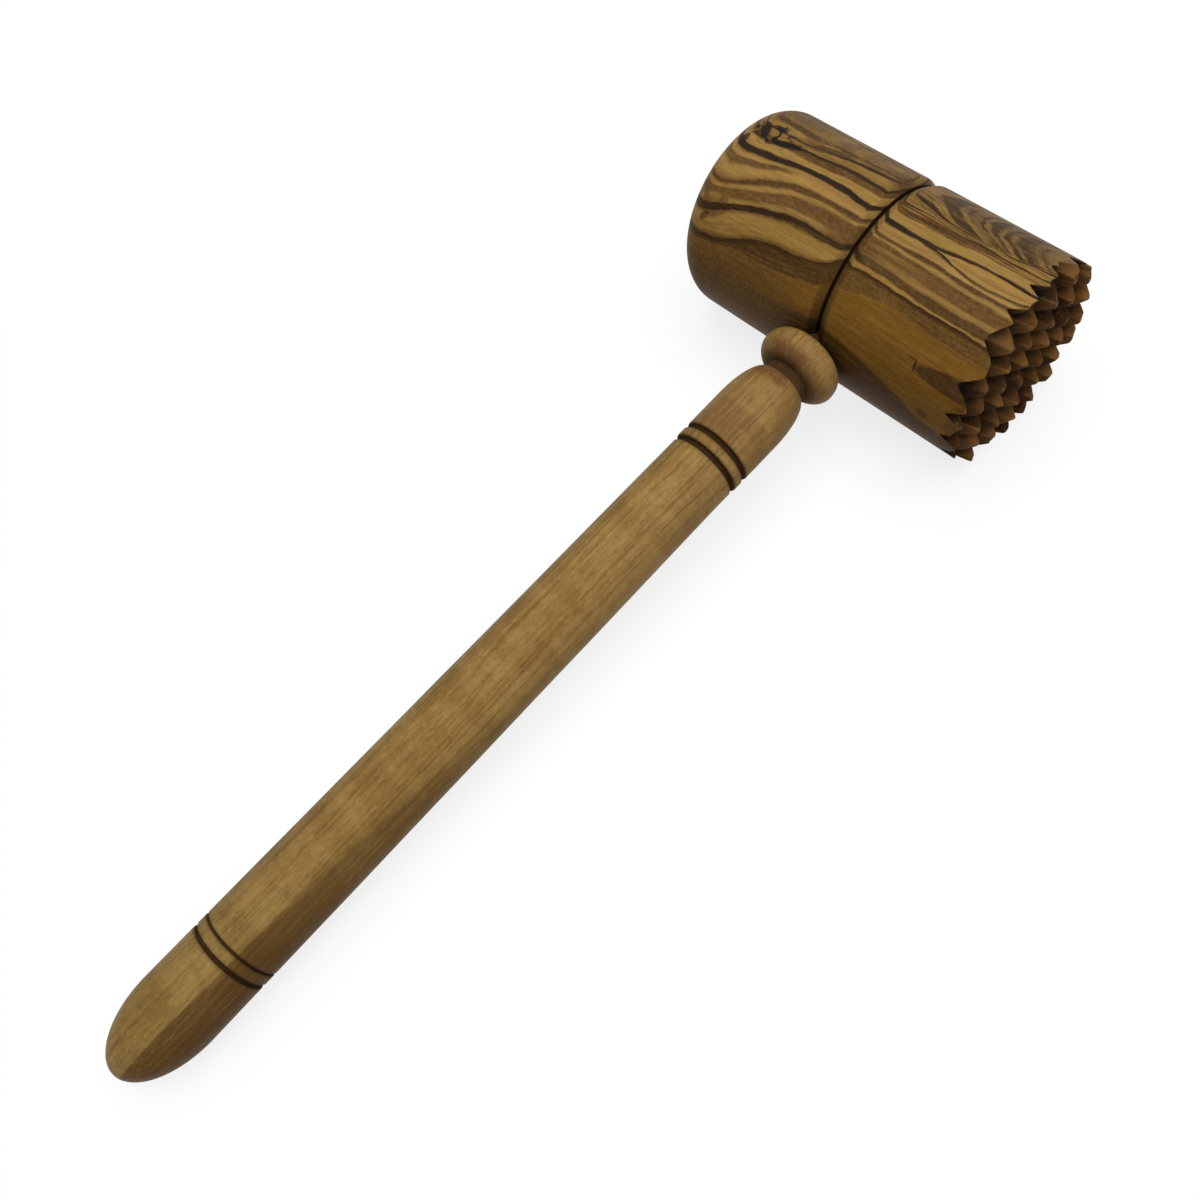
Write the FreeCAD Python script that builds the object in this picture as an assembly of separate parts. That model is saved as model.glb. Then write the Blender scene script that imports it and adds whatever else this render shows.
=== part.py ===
import FreeCAD, Part
import math
import os

# A wooden meat mallet, in millimetres: a turned head with one smooth face and one face
# of cut teeth, and a turned handle whose tenon is glued into a blind socket in the head.
#
# The pieces are shaped in a bench frame. The head's axis is Y and the handle's axis is X,
# with the butt at -X, and the two axes cross at the origin. The toothed face looks along
# -Y. Distances along the handle are measured from the head's side towards the butt, so the
# handle follows the head's diameter. At the end the mallet is laid down as it rests on a
# table, on the head's side and on the butt.

# Head
head_diameter = 60.0
smooth_reach = 56.0  # from the handle's axis to the smooth face
tooth_reach = 52.5  # from the handle's axis to the tips of the teeth
smooth_edge_radius = 10.5

# Waist groove round the middle of the head: a shallow V with a saw kerf at its root
waist_width = 6.0
waist_depth = 1.4
kerf_width = 0.9
kerf_depth = 1.2

# Teeth: two crossing sets of V cuts leave blunt pyramids
tooth_pitch = 8.8
tooth_depth = 7.0
tip_width = 0.9
root_width = 0.5
cut_shift_x = 2.4  # one cut of the set along Z has its middle here
cut_shift_z = 0.0  # one cut of the set along X has its middle here
cut_run_out = 2.0  # how far a cutter passes the wood

# Joint between the handle and the head
tenon_diameter = 12.0
tenon_reach = 10.0  # how far the tenon passes the head's axis
tenon_chamfer = 1.0
glue_gap = 0.2
glue_pocket = 0.5  # glue left between the tenon's end and the bottom of the socket

# Handle
bead_start = 0.6  # neck left between the head and the bead
bead_crown = 6.2  # where the bead is thickest
bead_end = 11.0
bead_diameter = 26.0
notch_diameter = 14.2
shoulder_start = 13.8
shoulder_length = 14.4
shoulder_diameter = 22.7
grip_start = 47.0  # the second ring hides the step from the shoulder to the grip
grip_front_diameter = 22.2
grip_back_diameter = 25.1
butt_start = 255.3
butt_length = 23.3

# Rings cut round the handle: distance from the head's side, width, depth
ring_grooves = [
    (42.3, 2.0, 1.2),
    (grip_start, 2.0, 1.2),
    (231.7, 1.0, 0.7),
    (236.0, 1.5, 0.9),
]
groove_floor_share = 0.6  # floor of a ring groove over its width at the top

head_radius = head_diameter / 2
tenon_radius = tenon_diameter / 2
socket_radius = tenon_radius + glue_gap
bead_radius = bead_diameter / 2
notch_radius = notch_diameter / 2
shoulder_radius = shoulder_diameter / 2
grip_front_radius = grip_front_diameter / 2
grip_back_radius = grip_back_diameter / 2
shoulder_end = shoulder_start + shoulder_length
handle_end = butt_start + butt_length

origin = FreeCAD.Vector(0, 0, 0)
along_x = FreeCAD.Vector(1, 0, 0)
along_y = FreeCAD.Vector(0, 1, 0)
along_z = FreeCAD.Vector(0, 0, 1)


def line(start, end):
    return Part.LineSegment(start, end).toShape()


def chain(points):
    return [line(start, end) for start, end in zip(points, points[1:])]


def quarter_ellipse(start, corner, end):
    # A quarter of an ellipse that touches both legs of the right angle at the corner.
    curve = Part.BSplineCurve()
    weights = [1.0, math.sqrt(0.5), 1.0]
    curve.buildFromPolesMultsKnots([start, corner, end], [3, 3], [0.0, 1.0], False, 2, weights)
    return curve.toShape()


def turned(edges, axis):
    return Part.Face(Part.Wire(edges)).revolve(origin, axis, 360)


def head_point(radius, y):
    return FreeCAD.Vector(radius, y, 0)


def handle_point(distance, radius):
    return FreeCAD.Vector(-head_radius - distance, radius, 0)


def tenon_point(reach, radius):
    return FreeCAD.Vector(reach, radius, 0)


def head_blank():
    waist_radius = head_radius - waist_depth
    kerf_radius = waist_radius - kerf_depth
    side = [
        head_point(0, smooth_reach),
        head_point(0, -tooth_reach),
        head_point(head_radius, -tooth_reach),
        head_point(head_radius, -waist_width / 2),
        head_point(waist_radius, -kerf_width / 2),
        head_point(kerf_radius, -kerf_width / 2),
        head_point(kerf_radius, kerf_width / 2),
        head_point(waist_radius, kerf_width / 2),
        head_point(head_radius, waist_width / 2),
        head_point(head_radius, smooth_reach - smooth_edge_radius),
    ]
    face_rim = head_point(head_radius - smooth_edge_radius, smooth_reach)
    edges = chain(side)
    edges.append(quarter_ellipse(side[-1], head_point(head_radius, smooth_reach), face_rim))
    edges.append(line(face_rim, side[0]))
    return turned(edges, along_y)


def tooth_cutter(middle, across, run):
    # A V with a narrow flat root, open past the tips, that runs right across the head.
    half_mouth = (tooth_pitch - tip_width) / 2
    half_root = root_width / 2
    tips = -tooth_reach
    section = [
        (-half_mouth, tips - cut_run_out),
        (-half_mouth, tips),
        (-half_root, tips + tooth_depth),
        (half_root, tips + tooth_depth),
        (half_mouth, tips),
        (half_mouth, tips - cut_run_out),
    ]
    start = run * -(head_radius + cut_run_out)
    points = [start + across * (middle + side) + along_y * y for side, y in section]
    face = Part.Face(Part.makePolygon(points + points[:1]))
    return face.extrude(run * (head_diameter + 2 * cut_run_out))


def cut_middles(shift):
    reach = int(head_diameter / tooth_pitch) + 1
    middles = [shift + step * tooth_pitch for step in range(-reach, reach + 1)]
    return [middle for middle in middles if abs(middle) < head_radius]


def socket():
    mouth = FreeCAD.Vector(-head_radius - cut_run_out, 0, 0)
    depth = head_radius + cut_run_out + tenon_reach + glue_pocket
    return Part.makeCylinder(socket_radius, depth, mouth, along_x)


def make_head():
    head = head_blank()
    for middle in cut_middles(cut_shift_x):
        head = head.cut(tooth_cutter(middle, along_x, along_z))
    for middle in cut_middles(cut_shift_z):
        head = head.cut(tooth_cutter(middle, along_z, along_x))
    return head.cut(socket())


def outside_radius(distance):
    if distance <= grip_start:
        return shoulder_radius
    share = (distance - grip_start) / (butt_start - grip_start)
    return grip_front_radius + share * (grip_back_radius - grip_front_radius)


def ring_cutter(middle, width, depth):
    top = outside_radius(middle) + cut_run_out
    bottom = outside_radius(middle) - depth
    flare = width * (1 - groove_floor_share) / 2
    spread = width / 2 + flare * cut_run_out / depth
    floor = width / 2 - flare
    points = [
        handle_point(middle - spread, top),
        handle_point(middle - floor, bottom),
        handle_point(middle + floor, bottom),
        handle_point(middle + spread, top),
    ]
    return turned(chain(points + points[:1]), along_x)


def make_handle():
    tenon = [
        tenon_point(tenon_reach, 0),
        tenon_point(tenon_reach, tenon_radius - tenon_chamfer),
        tenon_point(tenon_reach - tenon_chamfer, tenon_radius),
        handle_point(bead_start, tenon_radius),
    ]
    crown = handle_point(bead_crown, bead_radius)
    bead_foot = handle_point(bead_end, notch_radius)
    shoulder_foot = handle_point(shoulder_start, notch_radius)
    grip = [
        handle_point(shoulder_end, shoulder_radius),
        handle_point(grip_start, shoulder_radius),
        handle_point(grip_start, grip_front_radius),
        handle_point(butt_start, grip_back_radius),
    ]
    tail = handle_point(handle_end, 0)
    edges = chain(tenon)
    edges.append(quarter_ellipse(tenon[-1], handle_point(bead_start, bead_radius), crown))
    edges.append(quarter_ellipse(crown, handle_point(bead_end, bead_radius), bead_foot))
    edges.append(line(bead_foot, shoulder_foot))
    shoulder_corner = handle_point(shoulder_start, shoulder_radius)
    edges.append(quarter_ellipse(shoulder_foot, shoulder_corner, grip[0]))
    edges += chain(grip)
    edges.append(quarter_ellipse(grip[-1], handle_point(handle_end, grip_back_radius), tail))
    edges.append(line(tail, tenon[0]))
    handle = turned(edges, along_x)
    for middle, width, depth in ring_grooves:
        handle = handle.cut(ring_cutter(middle, width, depth))
    return handle


def make_glue_line(handle):
    return socket().common(head_blank()).cut(handle)


def butt_drop(angle):
    # How far the rounded butt reaches below the head's axis when the handle slopes.
    sag = math.hypot(butt_length * math.sin(angle), grip_back_radius * math.cos(angle))
    return (head_radius + butt_start) * math.sin(angle) + sag


def lying_angle():
    # The slope at which the head's side and the butt touch the same table.
    low = 0.0
    high = math.pi / 4
    for _ in range(60):
        middle = (low + high) / 2
        if butt_drop(middle) < head_radius:
            low = middle
        else:
            high = middle
    return low


def lying_placement():
    # The origin ends up under the middle of the lying mallet, on the table.
    angle = lying_angle()
    sweep = math.hypot(butt_length * math.cos(angle), grip_back_radius * math.sin(angle))
    back = (head_radius + butt_start) * math.cos(angle) + sweep
    shift = FreeCAD.Vector(
        (back - head_radius) / 2,
        (tooth_reach - smooth_reach) / 2,
        head_radius,
    )
    return FreeCAD.Placement(shift, FreeCAD.Rotation(along_y, -math.degrees(angle)))


handle = make_handle()
pieces = {
    "head": make_head(),
    "handle": handle,
    "glue_line": make_glue_line(handle),
}

os.makedirs("parts", exist_ok=True)
placement = lying_placement()
for name, shape in pieces.items():
    shape.Placement = placement.multiply(shape.Placement)
    box = shape.BoundBox
    print(name, shape.ShapeType, len(shape.Solids), shape.isValid(), round(shape.Volume))
    print("  from", round(box.XMin, 2), round(box.YMin, 2), round(box.ZMin, 2))
    print("  to", round(box.XMax, 2), round(box.YMax, 2), round(box.ZMax, 2))
    shape.exportStep("parts/" + name + ".step")
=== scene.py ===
import bpy
import bmesh
import math
from mathutils import Matrix, Vector, noise


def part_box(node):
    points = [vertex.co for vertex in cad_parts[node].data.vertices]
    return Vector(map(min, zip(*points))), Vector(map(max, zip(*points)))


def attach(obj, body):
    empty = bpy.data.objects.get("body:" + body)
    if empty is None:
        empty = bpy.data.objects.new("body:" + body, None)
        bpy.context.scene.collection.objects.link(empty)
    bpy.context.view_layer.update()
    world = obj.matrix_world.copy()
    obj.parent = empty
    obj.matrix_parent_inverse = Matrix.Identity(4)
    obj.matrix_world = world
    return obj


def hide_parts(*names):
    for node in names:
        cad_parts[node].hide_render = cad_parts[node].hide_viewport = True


# A turned wooden meat mallet, lying on the side of its head and on its butt.
# Pieces are shaped in millimetres about the point where the axes of the head and the
# handle cross: head along Y with the teeth at -Y, handle along -X. Then they are laid down.

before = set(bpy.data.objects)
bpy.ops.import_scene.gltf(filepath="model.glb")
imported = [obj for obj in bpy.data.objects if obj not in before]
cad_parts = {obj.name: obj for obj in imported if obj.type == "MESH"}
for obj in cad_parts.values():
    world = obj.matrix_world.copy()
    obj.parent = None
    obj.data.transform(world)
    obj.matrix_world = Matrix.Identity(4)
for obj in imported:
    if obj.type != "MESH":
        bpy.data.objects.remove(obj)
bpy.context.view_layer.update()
headLow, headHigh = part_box("head")
handleLow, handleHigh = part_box("handle")

mallet = {
    "headRadius": 30.0,
    "smoothReach": 56.0,
    "toothReach": 52.5,
    "lyingAngle": 3.49515,  # degrees, the slope of the handle towards the butt
}

crossing = Vector((
    headHigh.x - mallet["headRadius"] * 0.001,
    headHigh.y - mallet["smoothReach"] * 0.001,
    mallet["headRadius"] * 0.001,
))
lying = math.radians(-mallet["lyingAngle"])
layDown = Matrix.Translation(crossing) @ Matrix.Rotation(lying, 4, "Y") @ Matrix.Scale(0.001, 4)
print("frame", sorted(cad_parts), "crossing", [round(v, 5) for v in crossing])
for title, corners in (("head", (headLow, headHigh)), ("handle", (handleLow, handleHigh))):
    print(title, "box", [[round(v, 5) for v in corner] for corner in corners])


# shaping helpers

def arcPoints(centre, radii, startAngle, endAngle, steps, fullness=2.0):
    # points on an ellipse arc, first one left out; a fullness above 2 swells it towards a square
    points = []
    for step in range(1, steps + 1):
        angle = math.radians(startAngle + (endAngle - startAngle) * step / steps)
        across = math.copysign(abs(math.cos(angle)) ** (2 / fullness), math.cos(angle))
        up = math.copysign(abs(math.sin(angle)) ** (2 / fullness), math.sin(angle))
        points.append((centre[0] + radii[0] * across, centre[1] + radii[1] * up))
    return points


def softened(corners, steps=4):
    # rounds the marked corners of a profile; each corner is (along, radius, rounding)
    points = []
    for index, (along, radius, rounding) in enumerate(corners):
        here = Vector((along, radius))
        if rounding <= 0 or index in (0, len(corners) - 1):
            points.append((along, radius))
            continue
        before = Vector(corners[index - 1][:2]) - here
        after = Vector(corners[index + 1][:2]) - here
        reach = min(rounding, before.length * 0.45, after.length * 0.45)
        start = here + before.normalized() * reach
        end = here + after.normalized() * reach
        for step in range(steps + 1):
            share = step / steps
            point = start * (1 - share) ** 2 + here * 2 * share * (1 - share) + end * share ** 2
            points.append((point.x, point.y))
    return points


def turnProfile(points, axis, segments):
    # spins a profile of (along, radius) round X or Y into a closed solid
    bm = bmesh.new()
    chain = []
    for along, radius in points:
        place = (along, 0.0, radius) if axis == "X" else (0.0, along, radius)
        chain.append(bm.verts.new(place))
    for start, end in zip(chain, chain[1:]):
        bm.edges.new((start, end))
    spinAxis = (1, 0, 0) if axis == "X" else (0, 1, 0)
    bmesh.ops.spin(
        bm,
        geom=bm.verts[:] + bm.edges[:],
        cent=(0, 0, 0),
        axis=spinAxis,
        angle=math.tau,
        steps=segments,
        use_merge=True,
        use_duplicate=False,
    )
    bmesh.ops.remove_doubles(bm, verts=bm.verts, dist=0.0005)
    bmesh.ops.recalc_face_normals(bm, faces=bm.faces)
    return bm


def meshObject(bm, name):
    mesh = bpy.data.meshes.new(name)
    bm.to_mesh(mesh)
    bm.free()
    made = bpy.data.objects.new(name, mesh)
    bpy.context.scene.collection.objects.link(made)
    return made


def cutAway(target, cutter):
    # takes the cutter out of the target for good
    step = target.modifiers.new("cut", "BOOLEAN")
    step.operation = "DIFFERENCE"
    step.solver = "EXACT"
    step.object = cutter
    graph = bpy.context.evaluated_depsgraph_get()
    cutMesh = bpy.data.meshes.new_from_object(target.evaluated_get(graph))
    target.modifiers.clear()
    old = target.data
    target.data = cutMesh
    bpy.data.meshes.remove(old)
    bpy.data.objects.remove(cutter)


def finishPiece(piece, node, sharpAngle):
    piece.data.transform(layDown)
    piece.data.shade_smooth()
    piece.data.set_sharp_from_angle(angle=math.radians(sharpAngle))
    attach(piece, "root")
    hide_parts(node)
    print(piece.name, len(piece.data.polygons), "faces")


# head

head = {
    "segments": 384,
    "edgeRadius": 10.5,
    "waistWidth": 6.0,
    "waistDepth": 1.4,
    "kerfWidth": 0.9,
    "kerfDepth": 1.2,
    "socketRadius": 6.2,
    "socketReach": 10.5,
    "rimRow": 0.5,  # rows of the turned side near the teeth
    "rimStart": 44.0,  # how far from the waist these rows begin
    "arrisSoftening": 0.3,
    "arrisAngle": 0.5,  # radians; a flatter edge than this is no arris
    "cutterRunOut": 4.0,
}

teeth = {
    "pitch": 8.8,
    "depth": 7.0,
    "tipWidth": 0.9,
    "rootWidth": 0.5,
    "bulge": 1.06,  # 1 is a flat flank
    "shiftX": 2.4,
    "shiftZ": 0.0,
    "cellsPerPitch": 20,
    "tipDrop": 1.1,  # how much lower a worn tip may be
    "rimWear": 2.2,  # the same for the outermost teeth
    "wander": 0.6,  # how far a cut strays sideways
    "roughness": 0.07,
    "chipShare": 0.5,
    "chipDepth": 1.3,
    "chipSlope": 0.9,
    "chipStart": 0.6,  # how far from the middle of the tooth a chip begins
}


def headProfile():
    radius = mallet["headRadius"]
    toothEnd = -mallet["toothReach"]
    smoothEnd = mallet["smoothReach"]
    waistRadius = radius - head["waistDepth"]
    kerfRadius = waistRadius - head["kerfDepth"]
    halfWaist = head["waistWidth"] / 2
    halfKerf = head["kerfWidth"] / 2
    rimRows = int((mallet["toothReach"] - head["rimStart"]) / head["rimRow"])
    points = [(toothEnd, 0.0), (toothEnd, radius * 0.5), (toothEnd, radius)]
    points += [(toothEnd + head["rimRow"] * row, radius) for row in range(1, rimRows + 1)]
    points += [(along, radius) for along in (-40.0, -32.0, -24.0, -16.0, -8.0)]
    points += softened([
        (-8.0, radius, 0),
        (-halfWaist, radius, 0.5),
        (-halfKerf, waistRadius, 0.25),
        (-halfKerf, kerfRadius, 0.1),
        (halfKerf, kerfRadius, 0.1),
        (halfKerf, waistRadius, 0.25),
        (halfWaist, radius, 0.5),
        (8.0, radius, 0),
    ])[1:]
    points += [(along, radius) for along in (16.0, 24.0, 32.0, 40.0)]
    points.append((smoothEnd - head["edgeRadius"], radius))
    centre = (smoothEnd - head["edgeRadius"], radius - head["edgeRadius"])
    points += arcPoints(centre, (head["edgeRadius"], head["edgeRadius"]), 90, 0, 20)
    points += [(smoothEnd, 12.0), (smoothEnd, 5.0), (smoothEnd, 0.0)]
    return points


def cutDepth(distance):
    halfMouth = (teeth["pitch"] - teeth["tipWidth"]) / 2
    halfRoot = teeth["rootWidth"] / 2
    share = (halfMouth - distance) / (halfMouth - halfRoot)
    return teeth["depth"] * max(0.0, min(1.0, share)) ** teeth["bulge"]


def softMax(first, second, width):
    # larger of two depths, rounded where they cross
    gap = max(width - abs(first - second), 0.0) / width
    return max(first, second) + gap * gap * width * 0.25


def toothSurface(x, z):
    # how far the cut wood lies below the tips at this place
    pitch = teeth["pitch"]
    stray = Vector((x * 0.13, z * 0.13, 4.0))
    u = x - teeth["shiftX"] + teeth["wander"] * noise.noise(stray)
    v = z - teeth["shiftZ"] + teeth["wander"] * noise.noise(stray + Vector((7.0, 3.0, 0.0)))
    column = math.floor(u / pitch)
    row = math.floor(v / pitch)
    fromColumn = abs(u - pitch * round(u / pitch))
    fromRow = abs(v - pitch * round(v / pitch))
    depth = softMax(cutDepth(fromColumn), cutDepth(fromRow), 0.2)
    tooth = Vector((column * 3.7 + 0.3, row * 5.1 + 0.7, 1.5))
    worn = teeth["tipDrop"] * (0.5 + noise.noise(tooth))
    outer = max(0.0, min(1.0, (math.hypot(x, z) - 22.0) / 7.0))
    worn += teeth["rimWear"] * outer * outer * (0.85 + noise.noise(Vector((x * 0.2, z * 0.2, 8.0))))
    depth = softMax(depth, worn, 0.4)
    inX = u - (column + 0.5) * pitch
    inZ = v - (row + 0.5) * pitch
    if noise.cell(tooth) < teeth["chipShare"]:
        lean = math.tau * noise.cell(tooth + Vector((11.0, 0.0, 0.0)))
        along = inX * math.cos(lean) + inZ * math.sin(lean)
        depth = max(depth, teeth["chipDepth"] + (along - teeth["chipStart"]) * teeth["chipSlope"])
    rough = noise.noise(Vector((x * 1.1, z * 1.1, depth * 0.35)))
    rough += 0.5 * noise.noise(Vector((x * 2.6, z * 2.6, depth * 0.8 + 9.0)))
    return min(teeth["depth"], max(0.02, depth + teeth["roughness"] * (rough + 0.4)))


def toothCutter():
    step = teeth["pitch"] / teeth["cellsPerPitch"]
    cells = 2 * int((mallet["headRadius"] + 3.5) / step)
    bm = bmesh.new()
    bmesh.ops.create_grid(bm, x_segments=cells, y_segments=cells, size=cells * step / 2)
    for vert in bm.verts:
        x = vert.co.x + teeth["shiftX"]
        z = vert.co.y + teeth["shiftZ"]
        vert.co = (x, toothSurface(x, z) - mallet["toothReach"], z)
    rim = [edge for edge in bm.edges if edge.is_boundary]
    grown = bmesh.ops.extrude_edge_only(bm, edges=rim)["geom"]
    for vert in [part for part in grown if isinstance(part, bmesh.types.BMVert)]:
        vert.co.y = -mallet["toothReach"] - 6.0
    openEdges = [edge for edge in bm.edges if edge.is_boundary]
    bmesh.ops.edgeloop_fill(bm, edges=openEdges)
    bmesh.ops.recalc_face_normals(bm, faces=bm.faces)
    return meshObject(bm, "toothCutter")


def socketCutter():
    bm = bmesh.new()
    bmesh.ops.create_cone(
        bm,
        cap_ends=True,
        segments=96,
        radius1=head["socketRadius"],
        radius2=head["socketRadius"],
        depth=mallet["headRadius"] + head["cutterRunOut"] + head["socketReach"],
    )
    bmesh.ops.rotate(bm, verts=bm.verts, cent=(0, 0, 0), matrix=Matrix.Rotation(math.pi / 2, 3, "Y"))
    middle = (head["socketReach"] - mallet["headRadius"] - head["cutterRunOut"]) / 2
    bmesh.ops.translate(bm, verts=bm.verts, vec=(middle, 0, 0))
    return meshObject(bm, "socketCutter")


def softenArrises(mesh):
    # takes the razor edge off the rim where the cuts run out through the side
    bm = bmesh.new()
    bm.from_mesh(mesh)
    bmesh.ops.remove_doubles(bm, verts=bm.verts, dist=0.01)
    arrises = []
    for vert in bm.verts:
        outward = math.hypot(vert.co.x, vert.co.z)
        if vert.co.y > -44.6 or outward < mallet["headRadius"] - 0.06:
            continue
        for edge in vert.link_edges:
            if len(edge.link_faces) == 2 and edge.calc_face_angle() > head["arrisAngle"]:
                arrises.append(vert)
                break
    bmesh.ops.smooth_vert(
        bm,
        verts=arrises,
        factor=head["arrisSoftening"],
        use_axis_x=True,
        use_axis_y=True,
        use_axis_z=True,
    )
    bm.to_mesh(mesh)
    bm.free()
    return len(arrises)


malletHead = meshObject(turnProfile(headProfile(), "Y", head["segments"]), "malletHead")
cutAway(malletHead, toothCutter())
cutAway(malletHead, socketCutter())
print("teeth cut,", softenArrises(malletHead.data), "arris points softened")
finishPiece(malletHead, "head", 32)


# handle, distances measured from the head's side towards the butt

handle = {
    "segments": 192,
    "tenonRadius": 6.0,
    "tenonReach": 10.0,
    "tenonChamfer": 1.0,
    "beadStart": 0.25,
    "beadFullness": 2.3,
    "beadCrown": 6.2,
    "beadEnd": 11.0,
    "beadRadius": 13.0,
    "notchRadius": 7.1,
    "shoulderStart": 13.8,
    "shoulderLength": 14.4,
    "shoulderRadius": 11.35,
    "gripStart": 47.0,
    "gripFrontRadius": 11.1,
    "gripBackRadius": 12.55,
    "buttStart": 255.3,
    "buttLength": 23.3,
    "rings": [(42.3, 2.0, 1.2), (47.0, 2.0, 1.2), (231.7, 1.0, 0.7), (236.0, 1.5, 0.9)],
    "ringFloor": 0.6,
    "ringMargin": 0.7,
    "gripRows": (54, 228, 6),  # first, limit and step of the rows between the pairs of rings
    "buttRows": (240.0, 248.0, 255.3),
    "edgeSoftness": 0.28,
    "waver": 0.05,  # half of how far the turned surface strays from true
    "waverStart": 50.0,
}


def gripRadius(distance):
    if distance < handle["gripStart"]:
        return handle["shoulderRadius"]
    share = (distance - handle["gripStart"]) / (handle["buttStart"] - handle["gripStart"])
    return handle["gripFrontRadius"] + share * (handle["gripBackRadius"] - handle["gripFrontRadius"])


def handleProfile():
    soft = handle["edgeSoftness"]
    crown = handle["beadCrown"]
    beadRise = handle["beadRadius"] - handle["tenonRadius"]
    beadFall = handle["beadRadius"] - handle["notchRadius"]
    points = [(-mallet["headRadius"] - handle["tenonReach"], 0.0)]
    chamfer = handle["tenonChamfer"]
    points.append((points[0][0], handle["tenonRadius"] - chamfer))
    points.append((points[0][0] + chamfer, handle["tenonRadius"]))
    points += [(0.0, handle["tenonRadius"]), (handle["beadStart"], handle["tenonRadius"])]
    frontSize = (crown - handle["beadStart"], beadRise)
    backSize = (handle["beadEnd"] - crown, beadFall)
    points += arcPoints((crown, handle["tenonRadius"]), frontSize, 180, 90, 24, handle["beadFullness"])
    points += arcPoints((crown, handle["notchRadius"]), backSize, 90, 0, 16)
    points.append((handle["shoulderStart"] - 0.9, handle["notchRadius"]))
    points.append((handle["shoulderStart"], handle["notchRadius"]))
    shoulderEnd = handle["shoulderStart"] + handle["shoulderLength"]
    shoulderRise = handle["shoulderRadius"] - handle["notchRadius"]
    arcSize = (handle["shoulderLength"], shoulderRise)
    points += arcPoints((shoulderEnd, handle["notchRadius"]), arcSize, 180, 90, 20)
    corners = [(32.0, handle["shoulderRadius"], 0)]
    for middle, width, depth in handle["rings"]:
        rise = gripRadius(middle - 1.0)
        fall = gripRadius(middle + 1.0)
        floor = gripRadius(middle) - depth
        corners += [
            (middle - width / 2 - handle["ringMargin"], rise, 0),
            (middle - width / 2, rise, soft),
            (middle - width * handle["ringFloor"] / 2, floor, 0.15),
            (middle + width * handle["ringFloor"] / 2, floor, 0.15),
            (middle + width / 2, fall, soft),
            (middle + width / 2 + handle["ringMargin"], fall, 0),
        ]
        if middle == handle["rings"][1][0]:
            corners += [(along, gripRadius(along), 0) for along in range(*handle["gripRows"])]
    corners += [(along, gripRadius(along), 0) for along in handle["buttRows"]]
    points += softened(corners)
    buttSize = (handle["buttLength"], handle["gripBackRadius"])
    points += arcPoints((handle["buttStart"], 0.0), buttSize, 90, 0, 36)
    return [(-mallet["headRadius"] - along if index > 0 else handle["tenonReach"], max(radius, 0.0))
            for index, (along, radius) in enumerate(points)]


def waverSurface(bm):
    # a hand-turned grip is never quite true
    for vert in bm.verts:
        if vert.co.x > -mallet["headRadius"] - handle["waverStart"]:
            continue
        outward = Vector((0.0, vert.co.y, vert.co.z))
        if outward.length < 4.0:
            continue
        stray = noise.noise(Vector((vert.co.x * 0.045, vert.co.y * 0.07, vert.co.z * 0.07)))
        vert.co -= outward.normalized() * handle["waver"] * (stray + 1.0)


handleBody = turnProfile(handleProfile(), "X", handle["segments"])
waverSurface(handleBody)
malletHandle = meshObject(handleBody, "malletHandle")
finishPiece(malletHandle, "handle", 35)


# node helpers

def linearColour(code):
    # hex code of a colour as seen, to the linear values that nodes hold
    values = []
    for start in (0, 2, 4):
        seen = int(code[start:start + 2], 16) / 255
        values.append(seen / 12.92 if seen <= 0.04045 else ((seen + 0.055) / 1.055) ** 2.4)
    return (*values, 1.0)


def addNode(tree, kind, inputs=None, **settings):
    made = tree.nodes.new(kind)
    for name, value in settings.items():
        setattr(made, name, value)
    for name, value in (inputs or {}).items():
        if isinstance(value, bpy.types.NodeSocket):
            tree.links.new(value, made.inputs[name])
        else:
            made.inputs[name].default_value = value
    return made


def calc(tree, operation, *values, clamp=False):
    made = addNode(tree, "ShaderNodeMath", dict(enumerate(values)), operation=operation, use_clamp=clamp)
    return made.outputs[0]


def blend(tree, amount, first, second):
    made = addNode(tree, "ShaderNodeMix", {0: amount, 6: first, 7: second}, data_type="RGBA")
    made.clamp_factor = True
    return made.outputs[2]


def times(tree, first, *others):
    for other in others:
        first = calc(tree, "MULTIPLY", first, other)
    return first


def plus(tree, first, second):
    return calc(tree, "ADD", first, second)


def apart(tree, first, second):
    # distance between two values
    return calc(tree, "ABSOLUTE", calc(tree, "SUBTRACT", first, second))


def shaken(tree, value, field, amount):
    # moves a value up and down with a cloud
    return plus(tree, value, times(tree, calc(tree, "SUBTRACT", field, 0.5), amount))


def tint(tree, colour, code, *masks):
    # lays a colour over another, as far as all the masks let it through
    return blend(tree, times(tree, *masks), colour, linearColour(code))


def parted(tree, vector):
    return addNode(tree, "ShaderNodeSeparateXYZ", {0: vector}).outputs


def combined(tree, x, y, z):
    return addNode(tree, "ShaderNodeCombineXYZ", {0: x, 1: y, 2: z}).outputs[0]


def rescale(tree, value, low, high, newLow=0.0, newHigh=1.0, kind="LINEAR"):
    inputs = {"Value": value, "From Min": low, "From Max": high, "To Min": newLow, "To Max": newHigh}
    return addNode(tree, "ShaderNodeMapRange", inputs, interpolation_type=kind).outputs[0]


def nearTo(tree, value, middle, reach, soft):
    # 1 within the reach of the middle, fading to 0 over the soft width
    return rescale(tree, apart(tree, value, middle), reach + soft / 2, reach - soft / 2)


def stretched(tree, vector, scale, move=(0, 0, 0), turn=(0, 0, 0)):
    inputs = {"Vector": vector, "Scale": scale, "Location": move, "Rotation": turn}
    return addNode(tree, "ShaderNodeMapping", inputs).outputs[0]


def cloud(tree, vector, scale=1.0, detail=3.0, roughness=0.5, distortion=0.0):
    inputs = {"Vector": vector, "Scale": scale, "Detail": detail, "Roughness": roughness}
    inputs["Distortion"] = distortion
    return addNode(tree, "ShaderNodeTexNoise", inputs).outputs["Fac"]


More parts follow.
